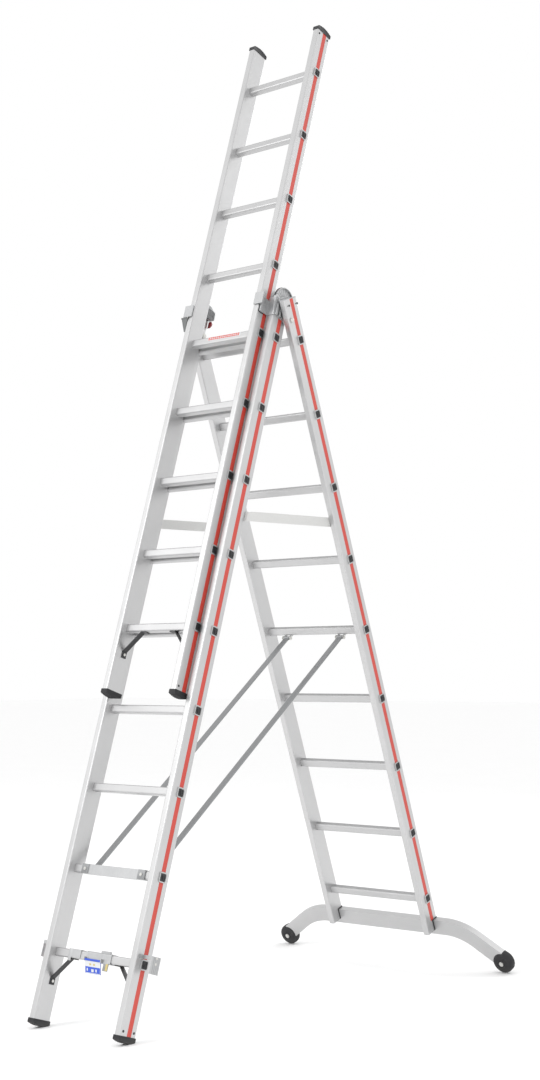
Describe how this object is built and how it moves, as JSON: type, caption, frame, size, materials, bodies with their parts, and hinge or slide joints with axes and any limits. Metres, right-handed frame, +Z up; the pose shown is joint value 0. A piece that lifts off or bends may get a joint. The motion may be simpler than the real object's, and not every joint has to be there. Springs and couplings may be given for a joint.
{
  "type": "combination ladder",
  "caption": "Aluminium combination ladder standing as a step ladder: base and rear sections hinged at the top, raised third section, arched crossbar with round feet.",
  "frame": {"origin": "floor point under the middle of the standing ladder's footprint box", "axes": "+X to the right across the rungs as seen from the front, +Y from the base section to the rear section, +Z up"},
  "size_m": [1.136, 1.8164, 3.6427],
  "materials": {
    "rail_aluminium": "brushed, satin",
    "rung_aluminium": "mill finish, ribbed tread",
    "bracket_aluminium": "pressed and extruded, satin",
    "crossbar_aluminium": "satin",
    "strut_aluminium": "satin",
    "zinc_steel": "zinc plated",
    "black_steel": "powder coated",
    "black_rubber": "matt moulded",
    "black_plastic": "moulded",
    "black_rivet": "black",
    "grey_nylon": "moulded",
    "red_stripe": "film strip",
    "webbing": "woven",
    "label_blue": "printed plate, no text"
  },
  "bodies": {
    "base": {"base_rail_left": "rail_aluminium", "base_rail_right": "rail_aluminium", "base_rungs": "rung_aluminium", "base_foot_left": "black_rubber", "base_foot_right": "black_rubber", "base_brace_left": "black_steel", "base_brace_right": "black_steel", "base_brace_rivets": "zinc_steel", "base_stripe_left": "red_stripe", "base_stripe_right": "red_stripe", "base_rivets": "black_rivet", "hinge_bracket_left": "bracket_aluminium", "hinge_bracket_right": "bracket_aluminium", "hinge_bolt_left": "zinc_steel", "hinge_bolt_right": "zinc_steel", "side_guide_left": "bracket_aluminium", "side_guide_right": "bracket_aluminium", "strut_seat": "bracket_aluminium", "seat_bolts": "zinc_steel", "rung_clamp": "bracket_aluminium", "belt_left": "webbing", "belt_right": "webbing", "catch_pin": "zinc_steel", "label_pin": "zinc_steel"},
    "raised_section": {"ext_rail_left": "rail_aluminium", "ext_rail_right": "rail_aluminium", "ext_rungs": "rung_aluminium", "ext_foot_left": "black_rubber", "ext_foot_right": "black_rubber", "ext_top_cap_left": "black_plastic", "ext_top_cap_right": "black_plastic", "ext_brace_left": "black_steel", "ext_brace_right": "black_steel", "ext_brace_rivets": "zinc_steel", "ext_stripe_left": "red_stripe", "ext_stripe_right": "red_stripe", "ext_rivets": "black_rivet"},
    "rear_section": {"rear_rail_left": "rail_aluminium", "rear_rail_right": "rail_aluminium", "rear_rungs": "rung_aluminium", "rear_stripe_left": "red_stripe", "rear_stripe_right": "red_stripe", "rear_cap_left": "grey_nylon", "rear_cap_right": "grey_nylon", "rear_rivets": "black_rivet", "hinge_bush_left": "grey_nylon", "hinge_bush_right": "grey_nylon", "crossbar": "crossbar_aluminium", "crossbar_foot_left": "black_rubber", "crossbar_foot_right": "black_rubber", "crossbar_liner_left": "black_plastic", "crossbar_liner_right": "black_plastic", "crossbar_bolts": "zinc_steel", "strut_lugs": "bracket_aluminium", "strut_pins": "zinc_steel"},
    "struts": {"strut_left": "strut_aluminium", "strut_right": "strut_aluminium", "strut_rod": "strut_aluminium"},
    "catch": {"catch_flap": "black_plastic"},
    "label": {"label_plate": "label_blue"}
  },
  "joints": [
    {"name": "rear_fold", "type": "hinge", "parent": "base", "child": "rear_section", "pos_m": [0, -0.05961, 2.43488], "axis": [-1, 0, 0], "range_deg": [0, 38.35], "deforming": ["belt_left", "belt_right"]},
    {"name": "raise_slide", "type": "slide", "parent": "base", "child": "raised_section", "axis": [0, 0.3072, 0.9516], "range_m": [-1.12, 0.56]},
    {"name": "strut_swing", "type": "hinge", "parent": "rear_section", "child": "struts", "pos_m": [0, 0.37012, 1.29306], "axis": [1, 0, 0], "range_deg": [0, 73.42]},
    {"name": "catch_swing", "type": "hinge", "parent": "base", "child": "catch", "pos_m": [-0.18425, -0.16585, 2.48598], "axis": [-1, 0, 0], "range_deg": [0, 60]},
    {"name": "label_swing", "type": "hinge", "parent": "base", "child": "label", "pos_m": [0.003, -0.81788, 0.23231], "axis": [-1, 0, 0], "range_deg": [-3, 60]}
  ],
  "couplings": [
    {"joint": "strut_swing", "follows": "rear_fold", "ratio": 1.9141}
  ]
}
